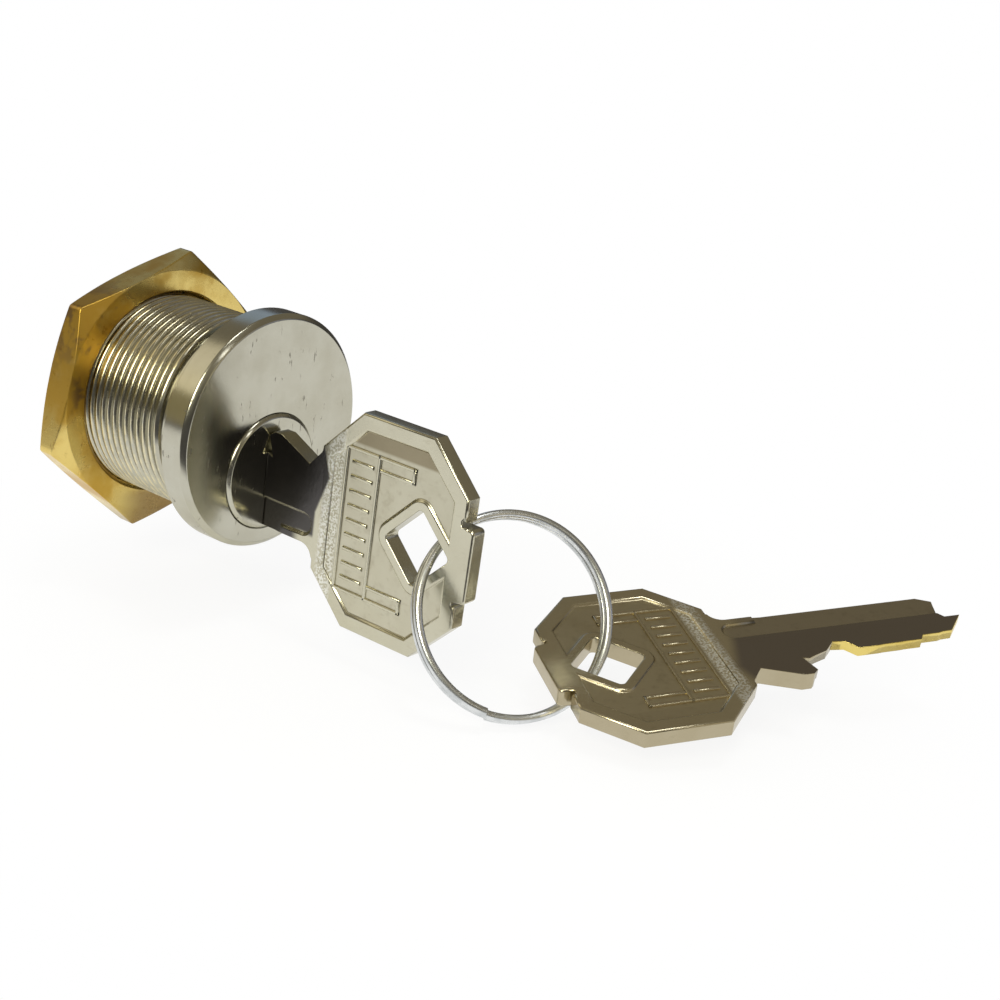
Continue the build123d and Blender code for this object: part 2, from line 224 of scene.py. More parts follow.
def nickel_plate(name, thread_wear_and_shading=False):
    material, start = open_material(name)
    place = millimetres(start)
    clouds = step(noise(place, 0.22, 4.0), 0.30, 0.72)
    grain = noise(place, 1.7, 2.0)
    scuffs = step(noise(stretched(place, (1.7, 0.8, 0.40)), 1.25, 3.0, 0.6), 0.63, 0.68)
    scuffs = scuffs * step(noise(place, 0.35, 1.0), 0.44, 0.58)
    colour = colour_between(PALE_NICKEL, CLOUDY_NICKEL, clouds)
    colour = colour_between(colour, SCUFF_GREY, scuffs * 0.6)
    if thread_wear_and_shading:
        _, y, _ = parts_of(place)
        radius = length_of(stretched(place, (1.0, 0.0, 1.0)))
        on_thread = step(y, THREAD_START - 0.2, THREAD_START + 0.2)
        crests = step(radius, CREST_R - 0.20, CREST_R - 0.03) * on_thread
        crests = crests * step(noise(place, 0.9, 3.0), 0.30, 0.62)
        grooves = (1 - step(radius, ROOT_R + 0.03, ROOT_R + 0.23)) * on_thread
        # Painted highlight: the crests are worn to brass and are also painted paler than brass,
        # where light catches them.
        colour = colour_between(colour, WORN_YELLOW_AND_HIGHLIGHT, crests * 0.75)
        # Painted shade: the grooves between the crests are painted darker.
        colour = colour_between(colour, GROOVE_SHADE, grooves * 0.45)
    set_metal(start, colour, 0.17 + clouds * 0.05 + scuffs * 0.2,
              bump(grain + clouds * 0.8, 0.30, 0.012))
    return material


plate = nickel_plate("nickel_plate")
threaded_plate = nickel_plate("nickel_plate_on_thread", thread_wear_and_shading=True)
print("finishes:", plate.name, threaded_plate.name)

# %% [markdown]
# ## Brass
# The nut is bare brass: golden where it is clean, orange-brown where it has tarnished. Fine
# lines run along its axis. Its left side is painted darker, with brown blotches, and its lowest
# corner is painted brown: both are painted shade. The pins and a key's fresh cuts are the same
# metal without that painted shade.

# %% Brass for the nut and the pins
SPOT_BROWN = (0.30, 0.15, 0.035)
PAINTED_SHADE_BROWN = (0.22, 0.14, 0.08)
SHADED_LEFT_OF = (-9.0, 5.0)
SHADED_ABOVE = (-4.0, 1.0)
SHADE_BLOTCHES_RIGHT_OF = (-15.0, -13.5)
SHADED_BELOW = (11.0, 13.0)
SHADED_LOW_RIGHT_OF = (-8.0, -2.0)


def bare_brass(name, clean, tarnished, rough, painted_shade=0.0):
    """The last argument is how strongly the nut's painted shade shows: its left side and lowest
    corner painted brown.
    """
    material, start = open_material(name)
    place = millimetres(start)
    x, y, z = parts_of(place)
    # Painted shade: the nut's left side, its blotches and its lowest corner are painted brown, for
    # the shade and dark reflections that fall there.
    shaded_left = (1 - step(x + z * 0.5, *SHADED_LEFT_OF)) * step(z, *SHADED_ABOVE) * painted_shade
    shaded_low = step(0 - z, *SHADED_BELOW) * step(x, *SHADED_LOW_RIGHT_OF) * painted_shade
    tarnish = step(noise(place, 0.13, 4.0, 0.6) + shaded_left * 0.2, 0.40, 0.64)
    spots = step(noise(place, 1.1, 4.0, 0.65), 0.60, 0.74)
    lines = noise(stretched(place, (2.6, 0.25, 2.6)), 1.4, 3.0)
    shade_blotches = step(noise(place, 0.30, 3.0, 0.6), 0.46, 0.58) * shaded_left
    shade_blotches = shade_blotches * step(x, *SHADE_BLOTCHES_RIGHT_OF)
    colour = colour_between(clean, tarnished, tarnish * 0.8 + spots * 0.2)
    colour = colour_between(colour, SPOT_BROWN, spots * 0.35)
    colour = colour_between(colour, PAINTED_SHADE_BROWN, shade_blotches * 0.75 + shaded_low * 0.70)
    set_metal(start, colour, rough + tarnish * 0.12 + lines * 0.06, bump(lines, 0.25, 0.012))
    return material


nut_brass = bare_brass("nut_brass", clean=(0.78, 0.60, 0.20), tarnished=(0.57, 0.33, 0.035),
                       rough=0.20, painted_shade=1.0)
pin_brass = bare_brass("pin_brass", clean=(0.78, 0.60, 0.28), tarnished=(0.62, 0.42, 0.15),
                       rough=0.24)
cut_brass = bare_brass("fresh_cut_brass", clean=(0.80, 0.64, 0.20), tarnished=(0.66, 0.50, 0.11),
                       rough=0.26)
print("finishes:", nut_brass.name, pin_brass.name, cut_brass.name)

# %% [markdown]
# ## Nickel silver
# Keys are blanked out of nickel silver, a pale alloy that turns olive as it ages. Hands polish the
# raised border and leave the recessed field dull. The blanking tool leaves a rough band beside the
# neck, with painted glints in it. The dark key's blade is nearly black with graphite on its broad
# faces; on the light key the near-black blade is a painted dark reflection. The edges stay bare.
#
# A key's pattern has to follow the key, whichever way it lies. The material therefore reads an
# attribute that holds each point's place on the key: u along the blade, s across it and w through
# it. A second attribute tells the two broad faces from the edges.

# %% Where things are on a key
KEY_PLACE = "key_place"
BROAD_FACE = "broad_face"
FIELD_W = 0.8
DARK_END_S = -8.9
ROUGH_BAND_U = (7.0, 10.0)
BLACKENED_FROM_U = 10.35
BLACKENED_BULGE_S = -4.0
BLACKENED_BULGE_U = 1.6
BLACKENED_BULGE_TAPER = 0.22
CLEAN_CORNER_U = 12.5
CLEAN_CORNER_S = 3.3
STEP_S = 1.15
PAINTED_GLINT = (0.92, 0.92, 0.86)
GRAPHITE = (0.25, 0.22, 0.20)
PAINTED_DARK_REFLECTION = (0.060, 0.056, 0.060)


def blackening_on(u, s, blackening):
    """How black the blade is painted, graphite on the dark key and a painted dark reflection on the
    light one: from the head on, earliest at the bulge, less above the step.
    """
    _, above_step, below_step, fade = blackening
    bulge = at_least(1 - absolute(s - BLACKENED_BULGE_S) * BLACKENED_BULGE_TAPER, 0.0)
    bulge = bulge * BLACKENED_BULGE_U
    on_blade = step(u + bulge, BLACKENED_FROM_U, BLACKENED_FROM_U + fade)
    clean = step(s, CLEAN_CORNER_S, CLEAN_CORNER_S + 0.6)
    clean = clean * (1 - step(u, CLEAN_CORNER_U, CLEAN_CORNER_U + 1.5))
    below = 1 - step(s, STEP_S - 0.3, STEP_S + 0.3)
    return on_blade * (1 - clean) * (above_step + below * (below_step - above_step))


# %% [markdown]
# Now the finish itself. Every pattern is a share between 0 and 1, and every colour is laid over
# the ones before it: stains and streaks, then a darker end of the field and painted shade on the
# dark key's edges, then painted glints, and the blade's blackening on top: graphite on the dark
# key, a painted dark reflection on the light one.

# %% Nickel silver for the two keys
def nickel_silver(name, polished, dull, aged, dark_end_share, edge_shade, blackening):
    """The last argument: the blade's blackening colour, how much of it lies above and below the
    blade's step, and its fade; on the light key it is a painted dark reflection.
    """
    material, start = open_material(name)
    place = start.node("ShaderNodeAttribute", {"attribute_name": KEY_PLACE}, {}, "Vector")
    broad = start.node("ShaderNodeAttribute", {"attribute_name": BROAD_FACE}, {}, "Fac")
    u, s, w = parts_of(place)
    recessed = (1 - step(absolute(w), FIELD_W + 0.04, FIELD_W + 0.2)) * broad
    clouds = step(noise(place, 0.26, 4.0, 0.6), 0.32, 0.70)
    grain = noise(place, 2.2, 3.0, 0.6)
    pores = noise(place, 4.6, 3.0, 0.7)
    stains = step(noise(place, 0.8, 4.0), 0.50, 0.78) * recessed
    streaks = step(noise(stretched(place, (0.5, 1.6, 1.0)), 1.3, 3.0), 0.60, 0.74)
    # The recessed field is darker towards its end of lowest s.
    dark_end = recessed * (1 - step(s, DARK_END_S - 0.4, DARK_END_S))

    band_from, band_to = ROUGH_BAND_U
    band = step(u, band_from, band_from + 0.7) * (1 - step(u, band_to - 0.8, band_to)) * broad
    band = band * step(pores + clouds * 0.15, 0.28, 0.46)
    # Painted glints: pale specks are painted in the rough band for the light it sparkles with.
    painted_glints = step(noise(place, 4.0, 2.0, 0.5), 0.44, 0.56) * band
    pits = step(noise(stretched(place, (1.0, 1.0, 0.0)), 3.1, 2.0, 0.5), 0.60, 0.66) * band

    colour = colour_between(polished, dull, clouds * 0.5 + recessed * 0.4)
    colour = colour_between(colour, aged, stains * 0.35)
    colour = colour_between(colour, aged, streaks * 0.14 + pits * 0.6)
    # Painted shade: on the dark key the edge and side faces are painted darker with the aged
    # colour.
    colour = colour_between(colour, aged, dark_end * dark_end_share + (1 - broad) * edge_shade)
    colour = colour_between(colour, PAINTED_GLINT, painted_glints * 0.85)
    # Painted dark reflection: on the light key the near-black blade stands for the dark
    # surroundings it mirrors; on the dark key it is graphite.
    colour = colour_between(colour, blackening[0], blackening_on(u, s, blackening) * broad)
    set_metal(start, colour, 0.21 + clouds * 0.05 + recessed * 0.09 + band * 0.14,
              bump(grain * 0.35 + clouds * 0.3 + pores * band * 1.3, 0.55, 0.06))
    return material


# The light key's blade is painted near black as a dark reflection.
light_silver = nickel_silver(
    "nickel_silver_light", polished=(0.59, 0.565, 0.44), dull=(0.56, 0.53, 0.405),
    aged=(0.30, 0.255, 0.165), dark_end_share=0.9, edge_shade=0.0,
    blackening=(PAINTED_DARK_REFLECTION, 0.93, 0.95, 0.4))
dark_silver = nickel_silver(
    "nickel_silver_dark", polished=(0.62, 0.555, 0.395), dull=(0.52, 0.455, 0.30),
    aged=(0.30, 0.25, 0.15), dark_end_share=0.15, edge_shade=0.5,
    blackening=(GRAPHITE, 0.42, 0.92, 1.8))
print("finishes:", light_silver.name, dark_silver.name)

# %% [markdown]
# ## Steels
# The ring and the springs are bright drawn wire. The cam, its washers and its screw are zinc
# plated, which is bluish, pale and spangled. All of them have a few dark specks.

# %% Wire and zinc plate
SPECK_GREY = (0.20, 0.21, 0.21)


def steel(name, light, dark, rough, spangle, unevenness=0.25):
    material, start = open_material(name)
    place = millimetres(start)
    clouds = step(noise(place, spangle, 3.0, 0.6), 0.38, 0.64)
    fine = noise(place, 3.5, 2.0)
    specks = step(noise(place, 1.6, 3.0), 0.62, 0.72)
    colour = colour_between(light, dark, clouds)
    colour = colour_between(colour, SPECK_GREY, specks * 0.3)
    set_metal(start, colour, rough + clouds * 0.07 + specks * 0.08, bump(fine, unevenness, 0.01))
    return material


ring_steel = steel("ring_steel", light=(0.74, 0.755, 0.75), dark=(0.60, 0.62, 0.62),
                   rough=0.26, spangle=0.5, unevenness=0.06)
spring_wire = steel("spring_wire", light=(0.55, 0.56, 0.56), dark=(0.42, 0.43, 0.44),
                    rough=0.22, spangle=0.9)
zinc_plate = steel("zinc_plate", light=(0.66, 0.68, 0.69), dark=(0.52, 0.54, 0.56),
                   rough=0.26, spangle=0.35)
print("finishes:", ring_steel.name, spring_wire.name, zinc_plate.name)

# %% [markdown]
# ## Working on a copy
# A CAD node is made of loose triangles. To soften its edges they have to be joined first: doubled
# corners are merged and flat neighbours are dissolved into one face. That happens on a copy, and
# the copy then stands for the node.

# %% Open a copy and soften its edges
SAME_PLACE_M = 1e-7
FLAT_WITHIN = radians(0.6)
SHARP_EDGE = radians(28.0)


def working_copy(node):
    bm = bmesh.new()
    bm.from_mesh(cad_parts[node].data)
    bmesh.ops.remove_doubles(bm, verts=bm.verts, dist=SAME_PLACE_M)
    bmesh.ops.dissolve_limit(bm, angle_limit=FLAT_WITHIN, verts=bm.verts, edges=bm.edges)
    return bm


def soften(bm, width_mm, chosen):
    """Rounds the sharp edges for which chosen(middle of the edge) is true."""
    edges = []
    for edge in bm.edges:
        if len(edge.link_faces) == 2 and edge.calc_face_angle() > SHARP_EDGE:
            middle = (edge.verts[0].co + edge.verts[1].co) / 2 / MM
            if chosen(middle):
                edges.append(edge)
    bmesh.ops.bevel(
        bm, geom=edges, offset=width_mm * MM, offset_type="OFFSET", segments=3,
        profile=0.5, affect="EDGES", clamp_overlap=False, material=-1)
    bmesh.ops.remove_doubles(bm, verts=bm.verts, dist=SAME_PLACE_M)
    return len(edges)


# %% [markdown]
# A finished piece is one object at the origin. It rides on a moving body, it gets the finishes it
# is given, and it replaces that node.

# %% Finish a piece
SMOOTH_WITHIN = radians(38)


def finish_piece(bm, name, body, node, finishes):
    mesh = bpy.data.meshes.new(name)
    bm.to_mesh(mesh)
    bm.free()
    for finish in finishes:
        mesh.materials.append(finish)
    mesh.shade_smooth()
    mesh.set_sharp_from_angle(angle=SMOOTH_WITHIN)
    piece = bpy.data.objects.new(name, mesh)
    bpy.context.scene.collection.objects.link(piece)
    even = piece.modifiers.new("even_shading", "WEIGHTED_NORMAL")
    even.keep_sharp = True
    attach(piece, body)
    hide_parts(node)
    print(name, "faces:", len(mesh.polygons))


# %% [markdown]
# ## The thread
# A thread is one ridge wound round the barrel. Blender's spin does exactly that when it is told to
# move a little along the axis at every step. The ridge is a closed profile with its foot sunk in
# the barrel, so the two shells can overlap without a seam. At both ends the ridge sinks away, as a
# cut thread runs out. A crest is a list of how far a point lies below the top and half the ridge's
# width there.

# %% Wind a ridge round the barrel axis
PITCH = 1.0
RIDGE_STEPS_PER_TURN = 90
ROUNDED_CREST = ((0.30, 0.31), (0.10, 0.19), (0.03, 0.12), (0.0, 0.05))
SHARP_CREST = ((0.0, 0.085),)


def close_ends(bm, first, made):
    """Fills the two open ends of a tube that spin has made out of the edges in first."""
    last = [item for item in made["geom_last"] if isinstance(item, bmesh.types.BMEdge)]
    bmesh.ops.holes_fill(bm, edges=first + last, sides=0)


def wind_ridge(bm, foot_r, crest_r, foot_w, crest, y_from, y_to):
    """A ridge from foot_r out or in to crest_r, wound from y_from to y_to."""
    outward = 1 if crest_r > foot_r else -1
    side = [(foot_r, foot_w / 2)] + [(crest_r - outward * fall, half) for fall, half in crest]
    corners = [(r, -y) for r, y in side] + side[::-1]
    if outward < 0:
        corners.reverse()
    count = len(corners)
    verts = [bm.verts.new(Vector((r, y_from + y, 0.0)) * MM) for r, y in corners]
    profile = [bm.edges.new((verts[i], verts[(i + 1) % count])) for i in range(count)]
    turns = (y_to - y_from) / PITCH
    steps = round(turns * RIDGE_STEPS_PER_TURN)
    made = bmesh.ops.spin(
        bm, geom=verts + profile, cent=(0, 0, 0), axis=(0, 1, 0),
        dvec=(0, (y_to - y_from) / steps * MM, 0), angle=turns * 2 * pi, steps=steps,
        use_merge=False)
    close_ends(bm, profile, made)


# %% [markdown]
# Turned work is shaped by distance from the barrel axis, so three small functions read, set and
# limit that distance.

# %% Distance from the barrel axis
def radius_at(vert):
    return hypot(vert.co.x / MM, vert.co.z / MM)


def set_radius(vert, wanted):
    scale = wanted / radius_at(vert)
    vert.co.x *= scale
    vert.co.z *= scale


def limit_radius(verts, limit):
    """Moves every point to the radius that limit(its y, its radius) gives."""
    for vert in verts:
        radius = radius_at(vert)
        wanted = limit(vert.co.y / MM, radius)
        if wanted != radius:
            set_radius(vert, wanted)


# %% [markdown]
# ## The housing
# The CAD model draws the thread as separate rings. In the copy the barrel is turned down to the
# root of the thread, the way a blank is before the die goes over it, and the ridge is wound on it.
# The plugs that close the pin chambers lie in the barrel's surface, so they are turned down too.

# %% Housing with its thread
FLANGE_EDGE = 0.12
FLANGE_BACK_Y = 0.1
RIDGE_W = 0.94
RIDGE_FOOT_R = ROOT_R - 0.08
RIDGE_FROM = THREAD_START + 0.2
TURNED_FROM = THREAD_START - 0.1
RUN_IN_R = ROOT_R - 0.1
RUN_IN_SLOPE = 0.9
RUN_OUT_FROM = 20.2


def turned_down(y, radius):
    return min(radius, ROOT_R) if y > TURNED_FROM else radius


def crest_limit(y, radius):
    """Crests fall away at both ends of the thread."""
    start = RUN_IN_R + max(0.0, y - THREAD_START) * RUN_IN_SLOPE
    end = CREST_R - max(0.0, y - RUN_OUT_FROM)
    return min(radius, start, end)


housing = working_copy("housing")
limit_radius(housing.verts, turned_down)
edges_softened = soften(housing, FLANGE_EDGE, lambda at: at.y < FLANGE_BACK_Y)
print("housing edges softened:", edges_softened)
before = set(housing.verts)
wind_ridge(housing, RIDGE_FOOT_R, CREST_R, RIDGE_W, ROUNDED_CREST, RIDGE_FROM, THREAD_END)
limit_radius([v for v in housing.verts if v not in before], crest_limit)
finish_piece(
    housing, "threaded_housing", "lock_body", "housing", [threaded_plate])

for number in range(1, 6):
    top = working_copy(f"chamber_plug_{number}")
    limit_radius(top.verts, turned_down)
    finish_piece(top, f"dressed_chamber_plug_{number}", "lock_body",
                 f"chamber_plug_{number}", [threaded_plate])

# %% [markdown]
# ## The hex nut
# A nut like this is turned from round bar and its six flats are milled on it. It is made the same
# way here: a blank is spun from its section, and every point that stands out past a flat is pulled
# in to it. The two limits are blended over a tenth of a millimetre, which rounds the edges.

# %% Turn the nut's blank
NUT_FROM = 14.8
NUT_TO = 18.6
NUT_BORE_R = 12.04
NUT_MOUTH_R = 12.54
NUT_FACE_R = 15.05
NUT_FACE_EDGE = 0.10
NUT_FLAT_R = 15.0
NUT_CORNER_R = 17.32
NUT_CORNER_DROP = 0.95
NUT_CORNER_ANGLE = 19.7
NUT_CHAMFER_CUTS = 28
NUT_STEPS = 360


def turn_nut_blank():
    bm = bmesh.new()
    mouth = NUT_MOUTH_R - NUT_BORE_R
    inner, outer = NUT_FACE_R - NUT_FACE_EDGE, NUT_FACE_R + NUT_FACE_EDGE
    section = [
        (NUT_BORE_R, NUT_FROM + mouth), (NUT_MOUTH_R, NUT_FROM), (inner, NUT_FROM),
        (outer, NUT_FROM + NUT_FACE_EDGE / 2), (NUT_CORNER_R, NUT_FROM + NUT_CORNER_DROP),
        (NUT_CORNER_R, NUT_TO - NUT_CORNER_DROP), (outer, NUT_TO - NUT_FACE_EDGE / 2),
        (inner, NUT_TO), (NUT_MOUTH_R, NUT_TO), (NUT_BORE_R, NUT_TO - mouth)]
    corner = Matrix.Rotation(radians(-NUT_CORNER_ANGLE), 3, "Y")
    verts = [bm.verts.new(corner @ Vector((r, y, 0.0)) * MM) for r, y in section]
    count = len(verts)
    edges = [bm.edges.new((verts[i], verts[(i + 1) % count])) for i in range(count)]
    chamfers_and_outside = edges[3:6]
    bmesh.ops.subdivide_edges(bm, edges=chamfers_and_outside, cuts=NUT_CHAMFER_CUTS)
    bmesh.ops.spin(bm, geom=bm.verts[:] + bm.edges[:], cent=(0, 0, 0), axis=(0, 1, 0),
                   angle=2 * pi, steps=NUT_STEPS, use_merge=True)
    bmesh.ops.remove_doubles(bm, verts=bm.verts, dist=SAME_PLACE_M)
    bmesh.ops.recalc_face_normals(bm, faces=bm.faces)
    return bm


# %% [markdown]
# The cutter takes away whatever stands out past one of the six flats. Points nearer to the axis
# than the flats stay where they are.

# %% Mill the six flats
EDGE_BLEND = 0.07
FLAT_ANGLES = [radians(NUT_CORNER_ANGLE + 30 + 60 * flat) for flat in range(6)]


def blended_least(values):
    """The least of some lengths, blended where two of them are nearly the same."""
    least = min(values)
    return least - EDGE_BLEND * log(sum(exp((least - v) / EDGE_BLEND) for v in values))


def milled(vert):
    """How far out a point may stand, given its radius and the flats that it faces."""
    radius = radius_at(vert)
    reaches = [radius]
    for away in FLAT_ANGLES:
        facing = (vert.co.x * cos(away) + vert.co.z * sin(away)) / MM / radius
        if facing > 0.3:
            reaches.append(NUT_FLAT_R / facing)
    return blended_least(reaches)


def mill_flats(bm):
    for vert in bm.verts:
        if radius_at(vert) > NUT_FACE_R - 0.5:
            set_radius(vert, milled(vert))


# %% [markdown]
# Inside, the nut gets a ridge of the same pitch that points inwards. It sinks back into the nut at
# both faces.

# %% Nut with its flats and its inside thread
NUT_MOUTH_EDGE = 0.08
NUT_RIDGE_FOOT_R = NUT_BORE_R + 0.1
NUT_CREST_R = 11.52
NUT_RIDGE_W = 0.84
NUT_RIDGE_FROM = NUT_FROM + 0.45
NUT_RIDGE_TO = NUT_TO - 0.4
NUT_RUN_OUT = 0.62


def bore_limit(y, radius):
    edge = min(y - NUT_FROM, NUT_TO - y)
    return max(radius, NUT_BORE_R + NUT_RUN_OUT - edge)


nut = turn_nut_blank()
mill_flats(nut)
edges_softened = soften(
    nut, NUT_MOUTH_EDGE, lambda at: hypot(at.x, at.z) < NUT_MOUTH_R + 0.1)
print("nut edges softened:", edges_softened)
before = set(nut.verts)
wind_ridge(nut, NUT_RIDGE_FOOT_R, NUT_CREST_R, NUT_RIDGE_W, SHARP_CREST,
           NUT_RIDGE_FROM, NUT_RIDGE_TO)
limit_radius([v for v in nut.verts if v not in before], bore_limit)
finish_piece(nut, "threaded_nut", "nut", "hex_nut", [nut_brass])

# %% [markdown]
# ## The plug
# The plug's front face is polished by years of key heads, and its rim is rounded enough to catch a
# bright line.

# %% Plug with a rounded rim
PLUG_EDGE = 0.10
PLUG_COLLAR_BACK_Y = -3.0

plug = working_copy("plug")
print("plug edges softened:", soften(plug, PLUG_EDGE, lambda at: at.y < PLUG_COLLAR_BACK_Y))
finish_piece(plug, "polished_plug", "turning_plug", "plug", [plate])

# %% [markdown]
# ## The keys
# Both keys are the same stamping. Between the hole and the neck the real head is lettered. The
# letters are left off, and the place has a frame of plain grip ribs instead. The key is worked on
# lying flat in its own axes, u, s and w, and it is then put back where the CAD has it.

# %% Grip ribs on a key's head
RIB_FRAME_U = (2.0, 7.1)
RIB_FRAME_S = 8.6
RAIL_END_U = -3.0
CORNER_S = 6.7
RIB_W = 0.42
RIB_TOP = 1.02
RIB_SINK = 0.1
RIB_EDGE = 0.12
RIB_GAP = 1.0
RIB_COUNT = 9


def add_bar(bm, u_from, u_to, s_from, s_to, side):
    """One raised bar standing on the recessed field."""
    foot = FIELD_W - RIB_SINK
    size = Vector((u_to - u_from, s_to - s_from, RIB_TOP - foot)) * MM
    middle = Vector(((u_from + u_to) / 2, (s_from + s_to) / 2, side * (foot + RIB_TOP) / 2)) * MM
    placed = Matrix.Translation(middle) @ Matrix.Diagonal((*size, 1.0))
    made = bmesh.ops.create_cube(bm, size=1.0, matrix=placed)
    upper = [e for e in bm.edges if all(v in made["verts"] for v in e.verts)
             and all(abs(v.co.z) > (RIB_TOP - 0.01) * MM for v in e.verts)]
    bmesh.ops.bevel(bm, geom=upper, offset=RIB_EDGE * MM, offset_type="OFFSET", segments=2,
                    profile=0.5, affect="EDGES", clamp_overlap=True, material=-1)


def add_grip_ribs(bm):
    u_from, u_to = RIB_FRAME_U
    for side in (-1, 1):
        for u in (u_from, u_to - RIB_W):
            add_bar(bm, u, u + RIB_W, -RIB_FRAME_S, RIB_FRAME_S, side)
        for end in (-1, 1):
            outer, inner = sorted((end * RIB_FRAME_S, end * (RIB_FRAME_S - RIB_W)))
            add_bar(bm, RAIL_END_U, u_to, outer, inner, side)
            outer, inner = sorted((end * CORNER_S, end * (CORNER_S + RIB_W)))
            add_bar(bm, RAIL_END_U, u_from, outer, inner, side)
            outer, inner = sorted((end * CORNER_S, end * RIB_FRAME_S))
            add_bar(bm, RAIL_END_U, RAIL_END_U + RIB_W, outer, inner, side)
        for index in range(RIB_COUNT):
            s = -RIB_FRAME_S + (index + 1) * 2 * RIB_FRAME_S / (RIB_COUNT + 1)
            add_bar(bm, u_from + RIB_GAP, u_to - RIB_GAP, s - RIB_W / 2, s + RIB_W / 2, side)


# %% [markdown]
# The walls of a struck recess slope, so the foot of each recess is moved away from its walls. Then
# the edges are rounded: the rim most, because it is handled most, and the cut blade least.

# %% Slope the recesses and round the edges
KEY_W = 1.1
FIELD_END_U = 9.0
HEAD_END_U = 10.2
HEAD_SIDE_S = 12.5
HEAD_CORNER = 17.5
NECK_U = 10.6
BLADE_STEP_W = 0.75
BLADE_STEP_S = (0.9, 4.1)
FIELD_DRAFT = 0.22
STEP_DRAFT = 0.20
RIM_EDGE = 0.30
INNER_EDGE = 0.16
FIELD_EDGE = 0.11
STEP_TOP_EDGE = 0.15
STEP_FOOT_EDGE = 0.14
BLADE_EDGE = 0.07
CLOSE = 0.01


def on_rim(at):
    """True on the outer edges of the head, in the key's own millimetres."""
    beyond_sides = abs(at.x) > HEAD_END_U or abs(at.y) > HEAD_SIDE_S
    return at.x < NECK_U and (beyond_sides or abs(at.x) + abs(at.y) > HEAD_CORNER)


def on_face(at):
    return abs(at.z) > KEY_W - 0.005


def across_step(at):
    return BLADE_STEP_S[0] < at.y < BLADE_STEP_S[1]


def lean_back(bm, level_mm, draft_mm, chosen):
    """Moves the foot of a recess away from its walls, so that the walls slope as struck ones do."""
    moves = []
    for vert in bm.verts:
        at = vert.co / MM
        if abs(abs(at.z) - level_mm) > CLOSE or not chosen(at):
            continue
        walls = []
        for face in vert.link_faces:
            if abs(face.normal.z) < 0.1 and all(face.normal.dot(n) < 0.999 for n in walls):
                walls.append(face.normal.copy())
        if len(walls) == 1:
            moves.append((vert, walls[0]))
        elif len(walls) == 2:
            moves.append((vert, (walls[0] + walls[1]) / (1 + walls[0].dot(walls[1]))))
    for vert, direction in moves:
        vert.co += direction * draft_mm * MM
    bm.normal_update()
    return len(moves)


def shape_key(bm):
    """Slopes and rounds a key. Gives how many points were moved and edges rounded, in order."""
    return (
        lean_back(bm, FIELD_W, FIELD_DRAFT, lambda at: at.x < FIELD_END_U),
        lean_back(bm, BLADE_STEP_W, STEP_DRAFT, lambda at: at.x > NECK_U and at.z > 0),
        soften(bm, RIM_EDGE, lambda at: abs(at.z) > KEY_W - 0.05 and on_rim(at)),
        soften(bm, INNER_EDGE, lambda at: on_face(at) and at.x < HEAD_END_U and not on_rim(at)),
        soften(bm, FIELD_EDGE, lambda at: abs(abs(at.z) - FIELD_W) < CLOSE and at.x < FIELD_END_U),
        soften(bm, STEP_TOP_EDGE, lambda at: at.z > 0 and on_face(at) and at.x > NECK_U
               and across_step(at)),
        soften(bm, STEP_FOOT_EDGE, lambda at: abs(at.z - BLADE_STEP_W) < CLOSE
               and across_step(at)),
        soften(bm, BLADE_EDGE, lambda at: on_face(at) and at.x > NECK_U
               and not across_step(at)))


# %% [markdown]
# A face belongs to the fresh cuts when it lies beyond the stop tab, on the side of the cuts, and
# looks that way. A face is a broad one when it looks out of the key's flat side. On the blade only
# the truly flat faces count, so the blackening stays off the rounded edges: graphite wears off
# them, and the painted dark reflection is kept off them too.

# %% Mark the cuts and the broad faces
CUTS_START_U = 22.3
CUTS_BELOW_S = -1.0
CUTS_LOOK_S = -0.12
BLADE_FROM_U = 10.3
BROAD_ON_HEAD = 0.6
BROAD_ON_BLADE = 0.9


def mark_cuts(bm):
    for face in bm.faces:
        middle = face.calc_center_median() / MM
        face.normal_update()
        if middle.x > CUTS_START_U and middle.y < CUTS_BELOW_S and face.normal.y < CUTS_LOOK_S:
            face.material_index = 1


def store_places(bm):
    """Stores each point's place on the key and which faces are broad, for the finish to read."""
    store = bm.verts.layers.float_vector.new(KEY_PLACE)
    for vert in bm.verts:
        vert[store] = vert.co / MM
    bm.normal_update()
    broad = bm.faces.layers.float.new(BROAD_FACE)
    for face in bm.faces:
        on_blade = face.calc_center_median().x > BLADE_FROM_U * MM
        least = BROAD_ON_BLADE if on_blade else BROAD_ON_HEAD
        face[broad] = 1.0 if abs(face.normal.z) > least else 0.0


# %% [markdown]
# Each key is brought into its own axes, shaped and marked there, and put back. One hangs in the
# plug with its blade along the barrel, the other hangs on the ring.

# %% Make both keys
def own_axes(centre, blade, face):
    """The matrix from a key's own u, s, w to the lock, in metres."""
    w = Vector(face).normalized()
    s = w.cross(Vector(blade)).normalized()
    u = s.cross(w)
    axes = Matrix((u, s, w)).transposed().to_4x4()
    return Matrix.Translation(Vector(centre) * MM) @ axes


def make_key(node, name, body, place, silver):
    bm = working_copy(node)
    bmesh.ops.transform(bm, matrix=place.inverted(), verts=bm.verts)
    print(node, "moved and rounded:", *shape_key(bm))
    mark_cuts(bm)
    add_grip_ribs(bm)
    store_places(bm)
    bmesh.ops.transform(bm, matrix=place, verts=bm.verts)
    finish_piece(bm, name, body, node, [silver, cut_brass])


inserted = own_axes(centre=(0, -22.6, -6.3), blade=(0, 1, 0), face=(-1, 0, 0))
loose = own_axes(
    centre=(15.95, -47.86, -16.72), blade=(0.825, -0.553, 0.113), face=(-0.195, -0.091, 0.977))
make_key("inserted_key", "ribbed_inserted_key", "key_in_lock",
         inserted, light_silver)
make_key("spare_key", "ribbed_spare_key", "loose_key", loose, dark_silver)

